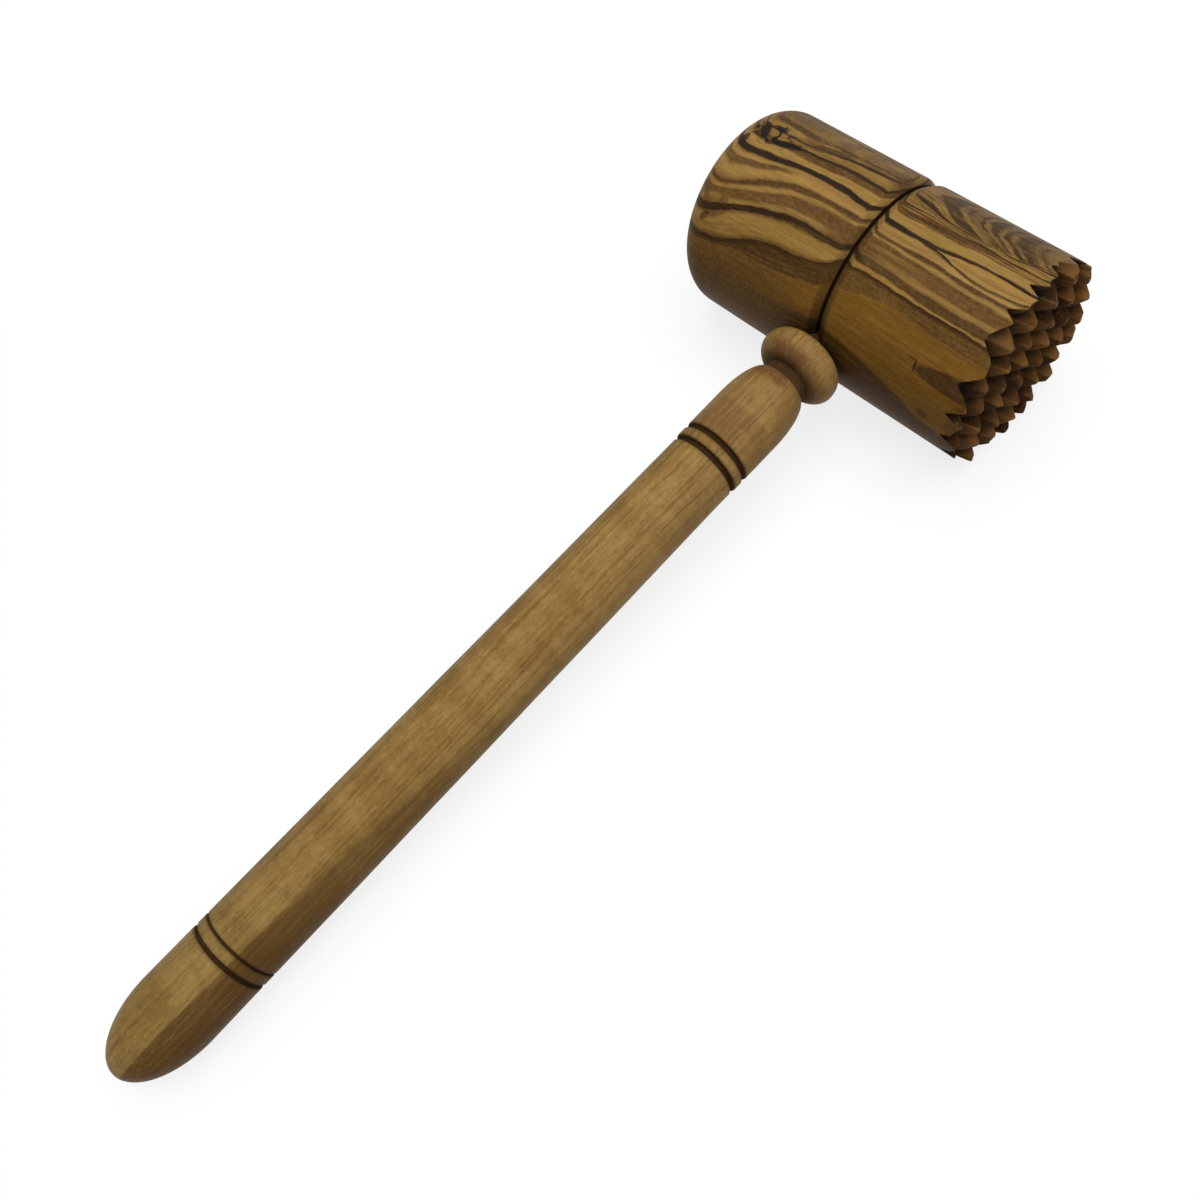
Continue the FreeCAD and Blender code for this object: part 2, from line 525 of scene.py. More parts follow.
def colourBands(tree, value, stops, low, high):
    # stops are (position between low and high, hex colour)
    made = addNode(tree, "ShaderNodeValToRGB", {"Fac": rescale(tree, value, low, high)})
    elements = made.color_ramp.elements
    while len(elements) < len(stops):
        elements.new(0.5)
    for index, (position, code) in enumerate(stops):
        elements[index].position = (position - low) / (high - low)
        elements[index].color = linearColour(code)
    return made.outputs["Color"]


def pathCurve(tree, along, points, span, top):
    # a smooth curve through (along, value) points; span is the reach along, top the largest value
    made = addNode(tree, "ShaderNodeFloatCurve", {"Value": rescale(tree, along, span[0], span[1])})
    curve = made.mapping.curves[0]
    spots = [((place - span[0]) / (span[1] - span[0]), value / top) for place, value in sorted(points)]
    while len(curve.points) < len(spots):
        curve.points.new(0.5, 0.5)
    for point, spot in zip(curve.points, spots):
        point.location = spot
    made.mapping.update()
    return times(tree, made.outputs[0], top)


def benchPoint(tree):
    # millimetres about the crossing of the two axes, as in the shaping above
    place = addNode(tree, "ShaderNodeTexCoord").outputs["Object"]
    inputs = {
        "Vector": place,
        "Location": crossing,
        "Rotation": (0.0, lying, 0.0),
        "Scale": (0.001, 0.001, 0.001),
    }
    return addNode(tree, "ShaderNodeMapping", inputs, vector_type="TEXTURE").outputs[0]


def newGroup(name, inputs, outputs):
    tree = bpy.data.node_groups.new(name, "ShaderNodeTree")
    for label, kind, value in inputs:
        socket = tree.interface.new_socket(name=label, in_out="INPUT", socket_type="NodeSocket" + kind)
        if value is not None:
            socket.default_value = value
    for label, kind in outputs:
        tree.interface.new_socket(name=label, in_out="OUTPUT", socket_type="NodeSocket" + kind)
    entry = tree.nodes.new("NodeGroupInput")
    leave = tree.nodes.new("NodeGroupOutput")
    return tree, entry.outputs, leave.inputs


def useGroup(tree, group, inputs):
    return addNode(tree, "ShaderNodeGroup", inputs, node_tree=group).outputs


def newMaterial(name):
    made = bpy.data.materials.new(name)
    made.use_nodes = True
    made.node_tree.nodes.clear()
    return made, made.node_tree


def raised(tree, height, strength, distance):
    # surface relief; the distance is in metres
    inputs = {"Height": height, "Strength": strength, "Distance": distance}
    return addNode(tree, "ShaderNodeBump", inputs).outputs[0]


def closeMaterial(tree, colour, roughness, normal, specular):
    inputs = {"Base Color": colour, "Roughness": roughness, "Normal": normal}
    inputs["Specular IOR Level"] = specular
    shader = addNode(tree, "ShaderNodeBsdfPrincipled", inputs)
    leave = tree.nodes.new("ShaderNodeOutputMaterial")
    tree.links.new(shader.outputs[0], leave.inputs["Surface"])


# shared effects

def makeFibreGroup():
    # fine fibres, pores and flecks of wood; the fibres run along X of the vector, in millimetres
    tree, entry, leave = newGroup(
        "woodFibre",
        [("Vector", "Vector", None), ("Fleck Length", "Float", 3.0), ("Fleck Amount", "Float", 0.5)],
        [("Tone", "Float"), ("Fleck", "Float"), ("Height", "Float")],
    )
    vector = entry["Vector"]
    fine = cloud(tree, stretched(tree, vector, (0.22, 3.4, 3.4)), detail=4.0, roughness=0.62)
    broad = cloud(tree, stretched(tree, vector, (0.05, 0.9, 0.9), move=(3, 7, 1)), detail=3.0)
    tone = plus(tree, times(tree, fine, 0.55), times(tree, broad, 0.45))
    squeeze = calc(tree, "DIVIDE", 1.0, entry["Fleck Length"])
    parts = parted(tree, vector)
    across = [times(tree, part, 4.6) for part in (parts[1], parts[2])]
    short = combined(tree, times(tree, parts[0], squeeze), *across)
    dashes = cloud(tree, short, detail=1.0, roughness=0.4)
    limit = calc(tree, "SUBTRACT", 0.78, times(tree, entry["Fleck Amount"], 0.2))
    fleck = rescale(tree, dashes, limit, plus(tree, limit, 0.07))
    height = calc(tree, "SUBTRACT", times(tree, fine, 0.8), times(tree, fleck, 0.5))
    tree.links.new(tone, leave["Tone"])
    tree.links.new(fleck, leave["Fleck"])
    tree.links.new(height, leave["Height"])
    return tree


def makeHandlingGroup():
    # oil and handling: uneven gloss and faint darker smudges
    tree, entry, leave = newGroup(
        "handlingWear",
        [("Vector", "Vector", None), ("Base Roughness", "Float", 0.5), ("Unevenness", "Float", 0.1)],
        [("Roughness", "Float"), ("Smudge", "Float")],
    )
    vector = entry["Vector"]
    patches = cloud(tree, stretched(tree, vector, (0.05, 0.07, 0.07)), detail=3.0, roughness=0.55)
    specks = cloud(tree, stretched(tree, vector, (0.9, 0.9, 0.9), move=(5, 2, 8)), detail=2.0)
    swing = times(tree, calc(tree, "SUBTRACT", patches, 0.5), entry["Unevenness"])
    small = times(tree, calc(tree, "SUBTRACT", specks, 0.5), 0.12)
    total = plus(tree, entry["Base Roughness"], plus(tree, swing, small))
    tree.links.new(total, leave["Roughness"])
    tree.links.new(rescale(tree, patches, 0.5, 0.75), leave["Smudge"])
    return tree


woodFibre = makeFibreGroup()
handlingWear = makeHandlingGroup()


# head wood: strongly figured, its growth layers bent along the head

figure = {
    "pithSide": 58.0,  # degrees round the head, where the layers lie flat to the surface
    "pithDistance": 70.0,  # millimetres from the head's axis
    "layerWaver": 3.2,  # degrees
    # a layer that meets the surface at the first angle by the waist runs along these
    # (place along the head, angle) points
    "guides": {
        63.0: [(-52, 70), (-35, 74), (-22, 75.5), (-14, 71), (-8, 65.5), (0, 63), (15, 62.5), (35, 62),
               (56, 61.5)],
        67.5: [(-52, 72), (-35, 76), (-22, 77), (-14, 74), (-8, 69.5), (0, 67.5), (10, 68), (18, 69.5),
               (26, 72.5), (32, 76), (40, 76.5), (56, 77)],
        71.0: [(-52, 74), (-35, 77), (-22, 78), (-14, 76.5), (-8, 74), (0, 70.5), (10, 71), (18, 73),
               (26, 76), (32, 78), (40, 78.5), (56, 79)],
        78.0: [(-52, 77.5), (-35, 79), (-22, 79.5), (-10, 78.8), (0, 79), (10, 78.5), (18, 79), (26, 80.3),
               (34, 82), (42, 84), (56, 85)],
        84.5: [(-52, 84.5), (-40, 84), (-30, 84.5), (-20, 86), (0, 86), (5, 84.5), (12, 84), (20, 85.5),
               (30, 86.5), (40, 87.5), (56, 88)],
        91.0: [(-52, 90), (-35, 89.8), (-28, 91), (-22, 92.5), (-18, 93), (0, 92), (5, 91), (12, 89.5),
               (20, 89.5), (30, 91), (38, 93), (56, 95.5)],
        95.0: [(-52, 97.5), (-45, 99), (-38, 100), (-28, 98.8), (-22, 96.5), (-18, 95.5), (0, 95.2),
               (5, 94.5), (12, 93), (20, 92.8), (30, 94.5), (38, 97), (56, 99)],
        97.0: [(-52, 99.6), (-40, 100.9), (-30, 100), (-20, 98.6), (0, 97.3), (10, 96.4), (20, 96),
               (27, 96.6), (33, 98.4), (38, 100.6), (44, 103.2), (50, 105.2), (56, 106)],
        99.5: [(-52, 101.5), (-40, 101.5), (-30, 100.8), (-20, 101), (-10, 101.5), (0, 100), (10, 99.5),
               (20, 100), (27, 102.5), (33, 106), (38, 110), (44, 115), (56, 120)],
        105.0: [(-52, 106.5), (-35, 106.5), (-20, 105.5), (0, 105), (10, 105), (20, 106.5), (27, 109.5),
                (30, 112), (38, 117), (45, 121), (56, 125)],
        116.0: [(-52, 117.5), (-35, 117.5), (-20, 116.5), (0, 115.5), (10, 115.5), (20, 116.5), (27, 119),
                (33, 122), (38, 125.5), (45, 130.5), (56, 138)],
        119.0: [(-52, 121), (-35, 121), (-20, 120), (0, 118.5), (10, 118.5), (20, 120), (27, 122.5),
                (33, 125.5), (38, 129), (45, 134.5), (56, 141.5)],
        123.5: [(-52, 123), (-20, 122), (0, 123), (4, 126), (8, 129), (15, 131), (22, 132.5), (28, 135.5),
                (33, 139.5), (38, 143.5), (44, 146.5), (56, 149)],
        125.5: [(-52, 124.5), (-20, 123.5), (0, 124.5), (4, 127.5), (8, 130.5), (15, 132.5), (22, 134.5),
                (28, 138.5), (33, 142.5), (38, 146), (44, 148.7), (56, 151.5)],
        132.0: [(-52, 131.5), (-30, 130.5), (-22, 129), (-12, 130.5), (-5, 133), (0, 135), (4, 139.5),
                (10, 141), (15, 143), (22, 145), (27, 146), (34, 146), (44, 150.5), (56, 153.5)],
        157.0: [(-52, 182), (-36, 176), (-30, 170), (-20, 164), (-10, 159), (0, 157), (10, 158), (56, 160)],
    },
    # colour of the wood by that angle, on the far side and on the near side of the top
    "farBands": [
        (58.0, "7c6138"), (61.5, "755b33"), (63.6, "8b6c39"), (64.4, "4c321b"), (65.4, "4c321b"),
        (66.0, "82642f"), (67.3, "836530"), (67.9, "2a1b12"), (70.3, "2a1b12"), (71.0, "876732"),
        (76.8, "876732"), (77.6, "2e1e14"), (79.3, "2e1e14"), (80.1, "54371a"), (83.6, "523518"),
        (84.7, "9d7a40"), (90.0, "9d7a40"),
    ],
    "nearBands": [
        (88.0, "9d7a40"), (90.2, "9d7a40"), (90.9, "1f150f"), (94.7, "1f150f"), (95.4, "a07c42"),
        (99.0, "a07c42"), (99.5, "4b3219"), (101.8, "4b3219"), (102.5, "96743c"), (104.2, "96743c"),
        (105.0, "5d3f1e"), (115.1, "5f4120"), (115.8, "2c1c0d"), (118.7, "2c1c0d"), (119.5, "9a763a"),
        (122.8, "9a763a"), (123.5, "33200d"), (125.3, "3b260f"), (126.3, "573a18"), (131.3, "5a3d18"),
        (133.0, "7e581c"), (156.0, "744f18"), (158.5, "402810"), (238.0, "4e3314"),
    ],
    "archSteepness": 10.4,  # how far the growth cones slide along the head per millimetre outwards
}


def makeRingGroup():
    # finds the growth layer of any point in the head, named by its angle at the waist
    tree, entry, leave = newGroup(
        "headLayers",
        [("Vector", "Vector", None)],
        [("Layer", "Float"), ("Fork", "Float"), ("Along", "Float"), ("Outward", "Float"), ("Arch", "Float")],
    )
    vector = entry["Vector"]
    parts = parted(tree, vector)
    flat = combined(tree, parts[0], 0.0, parts[2])
    side = math.radians(figure["pithSide"])
    reach = figure["pithDistance"]
    radius = mallet["headRadius"]
    pith = (-reach * math.cos(side), 0.0, -reach * math.sin(side))
    away = addNode(tree, "ShaderNodeVectorMath", {0: flat, 1: pith}, operation="DISTANCE").outputs["Value"]
    outward = addNode(tree, "ShaderNodeVectorMath", {0: flat}, operation="LENGTH").outputs["Value"]
    slow = cloud(tree, stretched(tree, vector, (0.12, 0.045, 0.12)), detail=2.0, roughness=0.5)
    quick = cloud(tree, stretched(tree, vector, (0.7, 0.16, 0.7), move=(2, 5, 3)), detail=3.0, roughness=0.55)
    quick = times(tree, calc(tree, "SUBTRACT", quick, 0.5), 0.7)
    shift = plus(tree, calc(tree, "SUBTRACT", slow, 0.5), quick)
    squares = calc(tree, "SUBTRACT", times(tree, away, away), radius ** 2 + reach ** 2)
    cosine = calc(tree, "DIVIDE", squares, 2 * radius * reach)
    cosine = calc(tree, "MINIMUM", calc(tree, "MAXIMUM", cosine, -1.0), 1.0)
    opening = times(tree, calc(tree, "ARCCOSINE", cosine), math.degrees(1))
    angle = plus(tree, opening, times(tree, shift, figure["layerWaver"]))
    angle = plus(tree, angle, figure["pithSide"])
    inward = calc(tree, "SUBTRACT", radius + reach, away)
    arch = plus(tree, parts[1], times(tree, inward, figure["archSteepness"]))
    arch = plus(tree, arch, times(tree, shift, 5.0))
    span = (-mallet["toothReach"], mallet["smoothReach"])
    names = sorted(figure["guides"])
    paths = [pathCurve(tree, parts[1], figure["guides"][name], span, 200.0) for name in names]
    total = rescale(tree, angle, figure["pithSide"], paths[0], figure["pithSide"], names[0])
    for index in range(len(names) - 1):
        width = names[index + 1] - names[index]
        total = plus(tree, total, rescale(tree, angle, paths[index], paths[index + 1], 0.0, width))
    beyond = calc(tree, "MAXIMUM", calc(tree, "SUBTRACT", angle, paths[-1]), 0.0)
    total = plus(tree, total, beyond)
    left = calc(tree, "SUBTRACT", angle, paths[names.index(91.0)])
    right = calc(tree, "SUBTRACT", paths[names.index(95.0)], angle)
    tree.links.new(total, leave["Layer"])
    tree.links.new(calc(tree, "MINIMUM", left, right), leave["Fork"])
    tree.links.new(parts[1], leave["Along"])
    tree.links.new(outward, leave["Outward"])
    tree.links.new(arch, leave["Arch"])
    return tree


headMarks = {
    # (angle round the head, place along, half size across, half size along, tilt in degrees)
    "knot": (81.3, 43.0, 3.9, 7.0, 0.0),
    "knotTongue": (84.2, 37.0, 1.4, 7.0, 17.0),
    "waistBlot": (66.0, 3.0, 5.8, 3.0, 0.0),
    "lowStain": (166.0, -49.5, 7.0, 4.2, 0.0),
    "knotBar": (81.8, 45.8, 3.9, 2.1, 32.0),
    "knotSpot": (92.5, 49.2, 2.8, 1.3, 0.0),
    "burl": (130.0, 45.5, 4.4, 5.4, 12.0),
    "burlEye": (126.5, 46.2, 1.2, 2.8, 10.0),
    "burlEnd": (138.5, 47.0, 2.2, 1.4, -35.0),
    "crack": (148.5, -32.4, 2.0, 0.32, 2.0),
    "crackTail": (145.2, -31.0, 0.35, 1.6, 0.0),
    "darkSpot": (172.0, -39.0, 1.5, 1.9, 0.0),
    "wedge": (147.0, -50.0, 3.4, 19.0, 3.0),
    "paleLens": (73.5, 41.0, 1.7, 8.0, 0.0),
    "darkLens": (73.0, 25.5, 1.7, 8.5, 20.0),
}


def markField(tree, vector, mark, ragged=0.0):
    # 0 in the middle of an oval mark on the head's side, 1 at its edge
    angle, along, halfAcross, halfAlong, tilt = mark
    turn = math.radians(angle)
    radius = mallet["headRadius"]
    place = (radius * math.cos(turn), along, radius * math.sin(turn))
    # first turn round Y so that the local X runs round the head and the local Z points out
    step = addNode(tree, "ShaderNodeMapping", {
        "Vector": vector,
        "Location": place,
        "Rotation": (0.0, math.pi / 2 - turn, 0.0),
        "Scale": (1.0, 1.0, 1.0),
    }, vector_type="TEXTURE").outputs[0]
    step = addNode(tree, "ShaderNodeMapping", {
        "Vector": step,
        "Location": (0.0, 0.0, 0.0),
        "Rotation": (0.0, 0.0, math.radians(tilt)),
        "Scale": (halfAcross, halfAlong, 6.0),
    }, vector_type="TEXTURE").outputs[0]
    field = addNode(tree, "ShaderNodeVectorMath", {0: step}, operation="LENGTH").outputs["Value"]
    if ragged > 0:
        wobble = cloud(tree, stretched(tree, vector, (0.55, 0.4, 0.55), move=(angle, along, 0)), detail=3.0)
        field = shaken(tree, field, wobble, ragged)
    return field


markLooks = {
    # (raggedness, share of the size where it starts to fade, where it ends, colour, strength)
    "wedge": (0.25, 0.86, 1.0, "3d2613", 0.92),
    "lowStain": (1.2, 0.6, 1.1, "3f2814", 0.6),
    "burlEye": (0.4, 0.7, 1.0, "8e6c38", 0.8),
    "burlEnd": (0.8, 0.6, 1.1, "2b1b0f", 0.8),
    "darkLens": (0.3, 0.7, 1.0, "38261a", 0.9),
    "waistBlot": (1.0, 0.5, 1.1, "34231a", 0.75),
    "paleLens": (0.3, 0.75, 1.0, "94723a", 1.0),
    "knotSpot": (0.9, 0.8, 1.05, "1d1510", 0.85),
    "darkSpot": (1.0, 0.5, 1.2, "35230f", 0.6),
}


def marked(tree, point, name, ragged, inner, outer):
    # 1 inside a mark, fading to 0 between two shares of its size
    return rescale(tree, markField(tree, point, headMarks[name], ragged), inner, outer, 1.0, 0.0)


def stain(tree, point, colour, *names):
    for name in names:
        ragged, inner, outer, code, strength = markLooks[name]
        colour = tint(tree, colour, code, marked(tree, point, name, ragged, inner, outer), strength)
    return colour


def toothFacet(tree, point):
    # a chance number for each flank of each tooth
    parts = parted(tree, point)
    cells = []
    insides = []
    for part, shift in ((parts[0], teeth["shiftX"]), (parts[2], teeth["shiftZ"])):
        place = calc(tree, "DIVIDE", calc(tree, "SUBTRACT", part, shift), teeth["pitch"])
        cell = calc(tree, "FLOOR", place)
        cells.append(cell)
        insides.append(calc(tree, "SUBTRACT", calc(tree, "SUBTRACT", place, cell), 0.5))
    reachX = calc(tree, "ABSOLUTE", insides[0])
    reachZ = calc(tree, "ABSOLUTE", insides[1])
    sideways = calc(tree, "GREATER_THAN", reachX, reachZ)
    flank = addNode(tree, "ShaderNodeMix", {
        0: sideways,
        2: calc(tree, "GREATER_THAN", insides[1], 0.0),
        3: plus(tree, calc(tree, "GREATER_THAN", insides[0], 0.0), 2.0),
    }, data_type="FLOAT").outputs[0]
    name = combined(tree, cells[0], cells[1], flank)
    name = stretched(tree, name, (1, 1, 1), move=(0.5, 0.5, 0.5))
    return addNode(tree, "ShaderNodeTexWhiteNoise", {"Vector": name}).outputs["Value"]


def makeHeadWood():
    material, tree = newMaterial("headWood")
    point = benchPoint(tree)
    layers = useGroup(tree, makeRingGroup(), {"Vector": point})
    layer, along, outward = layers["Layer"], layers["Along"], layers["Outward"]
    fibreVector = stretched(tree, point, (1, 1, 1), turn=(0.0, 0.0, math.radians(-90)))
    fibre = useGroup(tree, woodFibre, {"Vector": fibreVector, "Fleck Length": 3.2, "Fleck Amount": 0.5})
    wear = useGroup(tree, handlingWear, {"Vector": point, "Base Roughness": 0.5, "Unevenness": 0.16})

    farColour = colourBands(tree, layer, figure["farBands"], 58.0, 90.0)
    nearColour = colourBands(tree, layer, figure["nearBands"], 88.0, 238.0)
    colour = blend(tree, rescale(tree, layer, 88.6, 89.4), farColour, nearColour)
    smoothHalf = rescale(tree, along, 0.0, 4.0)
    toothedHalf = rescale(tree, along, -2.5, -6.0)

    # the pale lens where the darkest line forks towards the teeth
    lens = rescale(tree, layers["Fork"], 1.25, 1.75, kind="SMOOTHSTEP")
    lens = times(tree, lens, rescale(tree, along, -16.0, -20.0))
    colour = tint(tree, colour, "a27d42", lens)

    # a branch that leaves the darkest line on the smooth half
    branch = rescale(tree, apart(tree, layer, 97.0), 0.75, 0.4)
    branch = times(tree, branch, rescale(tree, along, 26.0, 31.0))
    colour = tint(tree, colour, "46301a", branch, 0.85)

    # pale strips inside the broad brown band
    strip = nearTo(tree, layer, 113.5, 1.7, 1.2)
    strip = times(tree, strip, rescale(tree, calc(tree, "ABSOLUTE", along), 4.0, 12.0))
    colour = tint(tree, colour, "96743c", strip, 0.85)
    strip = nearTo(tree, layer, 108.6, 1.3, 0.9)
    strip = times(tree, strip, rescale(tree, along, -24.0, -17.0))
    strip = times(tree, strip, toothedHalf)
    colour = tint(tree, colour, "8e6c37", strip, 0.65)

    browner = times(tree, nearTo(tree, layer, 117.2, 1.5, 0.8), toothedHalf, 0.4)
    colour = tint(tree, colour, "6a4a27", browner)

    # thin alternating lines beyond the top of the toothed half
    lines = combined(tree, times(tree, layer, 0.62), times(tree, along, 0.035), 7.0)
    lines = cloud(tree, lines, detail=2.0, roughness=0.5)
    inLines = times(tree, toothedHalf, nearTo(tree, layer, 77.5, 7.2, 0.8))
    paleLine = times(tree, rescale(tree, lines, 0.46, 0.41), inLines)
    colour = tint(tree, colour, "3a2617", rescale(tree, lines, 0.5, 0.56), inLines, 0.8)
    colour = tint(tree, colour, "98753d", paleLine, 0.85)

    # arched lines where the growth layers lie flat to the surface
    arch = combined(tree, times(tree, layers["Arch"], 0.23), times(tree, layer, 0.03), 3.3)
    arch = cloud(tree, arch, detail=2.5, roughness=0.55)
    inArches = times(tree, rescale(tree, layer, 69.0, 66.0), calc(tree, "MAXIMUM", toothedHalf, 0.4))
    paleArch = times(tree, rescale(tree, arch, 0.46, 0.40), inArches)
    colour = tint(tree, colour, "2d1d14", rescale(tree, arch, 0.48, 0.55), inArches, 0.92)
    colour = tint(tree, colour, "94733d", paleArch, 0.5)

    # smooth half: darker band and browner plain wood beyond it
    inBand = nearTo(tree, layer, 128.1, 4.2, 1.0)
    inBand = times(tree, inBand, smoothHalf, 0.6)
    colour = tint(tree, colour, "35210c", inBand)
    plain = times(tree, rescale(tree, layer, 131.6, 134.0), rescale(tree, along, 2.0, 26.0))
    colour = tint(tree, colour, "604119", plain, 0.9)
    colour = tint(tree, colour, "4a3013", rescale(tree, layer, 150.0, 170.0), smoothHalf, 0.5)

    # marks on the side
    colour = stain(tree, point, colour, "wedge", "lowStain")
    shade = addNode(tree, "ShaderNodeRGBToBW", {0: colour}).outputs[0]
    burl = marked(tree, point, "burl", 0.5, 0.75, 1.0)
    burl = times(tree, burl, rescale(tree, shade, 0.03, 0.09, 0.0, 0.8))
    colour = tint(tree, colour, "5a3d1f", burl)
    colour = stain(tree, point, colour, "burlEye", "burlEnd", "darkLens", "waistBlot", "paleLens")

    # hairlines that follow the layers
    threads = combined(tree, times(tree, layer, 0.75), times(tree, along, 0.02), times(tree, outward, 0.01))
    thread = cloud(tree, threads, detail=3.0, roughness=0.65)
    hair = rescale(tree, thread, 0.54, 0.68)
    colour = tint(tree, colour, "553a1c", hair, 0.36)
    colour = tint(tree, colour, "a37f44", rescale(tree, thread, 0.44, 0.30), 0.16)

    # mottle: short pale and dark bars, strongest in the brown bands
    luma = addNode(tree, "ShaderNodeRGBToBW", {0: colour}).outputs[0]
    brown = times(tree, rescale(tree, luma, 0.14, 0.07), rescale(tree, luma, 0.02, 0.05))
    light = rescale(tree, luma, 0.03, 0.14, 0.3, 1.0)
    bars = cloud(tree, stretched(tree, point, (1.3, 0.75, 1.3), move=(1, 4, 2)), detail=3.0, roughness=0.6)
    bars = rescale(tree, bars, 0.38, 0.66)
    colour = tint(tree, colour, "a37f44", bars, brown, 0.24)

    # blotches of the far upper side
    farSide = rescale(tree, layer, 69.0, 61.0)
    blotch = cloud(tree, stretched(tree, point, (0.16, 0.11, 0.16), move=(3, 1, 6)), detail=3.0)
    blotch = rescale(tree, blotch, 0.42, 0.6)
    blotch = times(tree, blotch, farSide, 0.6)
    colour = tint(tree, colour, "4c3922", blotch)

    # fibre tone, flecks
    colour = tint(tree, colour, "3e2912", rescale(tree, fibre["Tone"], 0.55, 0.38), 0.24)
    colour = tint(tree, colour, "c09a58", rescale(tree, fibre["Tone"], 0.5, 0.64), light, 0.16)
    colour = tint(tree, colour, "3a2512", fibre["Fleck"], 0.3)

    # faint marks of the turning tool, round the head
    turned = cloud(tree, stretched(tree, point, (0.2, 2.4, 0.2), move=(6, 1, 9)), detail=3.0, roughness=0.6)
    colour = tint(tree, colour, "3a2612", rescale(tree, turned, 0.47, 0.33), 0.09)
    colour = tint(tree, colour, "c6a264", rescale(tree, turned, 0.54, 0.68), light, 0.05)

    # knot: curled black lines round a dark eye
    knot = markField(tree, point, headMarks["knot"], 0.9)
    inKnot = rescale(tree, knot, 1.3, 0.85)
    curls = stretched(tree, point, (0.26, 0.19, 0.26), move=(8.3, 2.1, 4.4))
    curls = cloud(tree, curls, detail=1.0, roughness=0.4, distortion=0.9)
    curl = rescale(tree, apart(tree, curls, 0.5), 0.085, 0.04)
    tongue = marked(tree, point, "knotTongue", 0.7, 0.6, 1.1)
    bar = marked(tree, point, "knotBar", 1.0, 0.6, 1.1)
    black = calc(tree, "MAXIMUM", times(tree, curl, inKnot), calc(tree, "MAXIMUM", tongue, bar))
    colour = tint(tree, colour, "7d5c30", inKnot, 0.35)
    colour = tint(tree, colour, "130e0b", black, 0.96)
    colour = stain(tree, point, colour, "knotSpot", "darkSpot")
    crack = marked(tree, point, "crack", 0.5, 0.75, 1.05)
    tail = marked(tree, point, "crackTail", 0.5, 0.7, 1.1)
    crack = calc(tree, "MAXIMUM", crack, times(tree, tail, 0.6))
    colour = tint(tree, colour, "1f140a", crack, 0.85)

    # cut tooth faces: redder, with painted shade darkening them towards the roots and painted light and shade
    # varying at random from flank to flank and tooth to tooth
    inTeeth = times(tree, rescale(tree, along, -45.0, -45.6), rescale(tree, outward, 29.9, 29.6))
    # painted shade: the redder cut colour of the tips darkens to near-black at the roots, where the hollows
    # between the teeth lie in shade
    depth = rescale(tree, along, -52.5, -46.0)
    toothColourAndShade = blend(tree, depth, linearColour("6f4828"), linearColour("27160d"))
    colour = blend(tree, times(tree, inTeeth, 0.8), colour, toothColourAndShade)
    # painted light and shade: each tooth flank gets a darker or paler tone at random, standing in for flanks
    # turned towards or away from the light
    facet = toothFacet(tree, point)
    shadedFlank = times(tree, rescale(tree, facet, 0.5, 0.8), inTeeth, 0.7)
    colour = tint(tree, colour, "23140a", shadedFlank)
    colour = tint(tree, colour, "8f6637", rescale(tree, facet, 0.34, 0.12), inTeeth, 0.6)
    fuzz = cloud(tree, stretched(tree, point, (0.9, 0.25, 0.9), move=(4, 4, 1)), detail=3.0, roughness=0.6)
    colour = tint(tree, colour, "94703f", rescale(tree, fuzz, 0.56, 0.68), inTeeth, 0.32)
    wornTip = times(tree, rescale(tree, along, -51.0, -52.2), inTeeth)
    colour = tint(tree, colour, "a07a45", wornTip, 0.3)
    # painted shade, deepest in the hollows at the roots of the teeth
    root = times(tree, rescale(tree, along, -50.8, -46.2), inTeeth)
    colour = tint(tree, colour, "180d06", root, 0.75)

    # waist groove: near-black kerf, with painted shade on the bevel beside it and at its edges towards the
    # underside
    fromWaist = calc(tree, "ABSOLUTE", along)
    kerf = rescale(tree, fromWaist, 0.75, 0.5)
    colour = tint(tree, colour, "150c06", kerf, 0.95)
    bevelShade = times(tree, rescale(tree, fromWaist, 3.1, 0.6), rescale(tree, fromWaist, 3.15, 3.0))
    colour = tint(tree, colour, "301d0d", bevelShade, 0.45)
    # painted shade at the groove's edges towards the underside, near the bead
    lowGrooveShade = times(tree, rescale(tree, fromWaist, 3.4, 2.6), rescale(tree, layer, 118.0, 165.0))
    colour = tint(tree, colour, "1d110a", lowGrooveShade, 0.6)
    colour = tint(tree, colour, "4a3218", wear["Smudge"], 0.1)

    height = plus(tree, fibre["Height"], times(tree, hair, -0.25))
    height = calc(tree, "SUBTRACT", height, times(tree, crack, 2.0))
    rough = cloud(tree, stretched(tree, point, (1.6, 0.9, 1.6)), detail=4.0, roughness=0.65)
    height = plus(tree, height, times(tree, rough, inTeeth, 2.2))
    normal = raised(tree, height, 0.35, 0.00012)
    roughness = plus(tree, wear["Roughness"], times(tree, inTeeth, 0.18))
    roughness = plus(tree, roughness, times(tree, kerf, 0.2))
    closeMaterial(tree, colour, roughness, normal, 0.05)
    return material


# handle wood: plain, golden, with short flecks

handleWoodLook = {
    "layerTurn": 200.0,
    "base": "94723b",
    "pale": "a3824b",
    "olive": "866c38",
    "brown": "64451f",
    "red": "7a5631",
    "streak": "573a1a",
    "grooveDarkAndShadeColour": "2a190c",
    # how far the dark heart streak keeps from the handle's axis, by distance from the head
    "streakDepth": [(0, 0), (100, 0.04), (150, 0.2), (175, 0.42), (200, 0.62), (232, 0.86), (280, 0.8)],
    "streakEdge": [
        (0, 12.5), (50, 11.5), (100, 10.4), (140, 8.6), (170, 6.6),
        (195, 4.2), (222, 2.6), (250, 2.5), (280, 1.0),
    ],
}


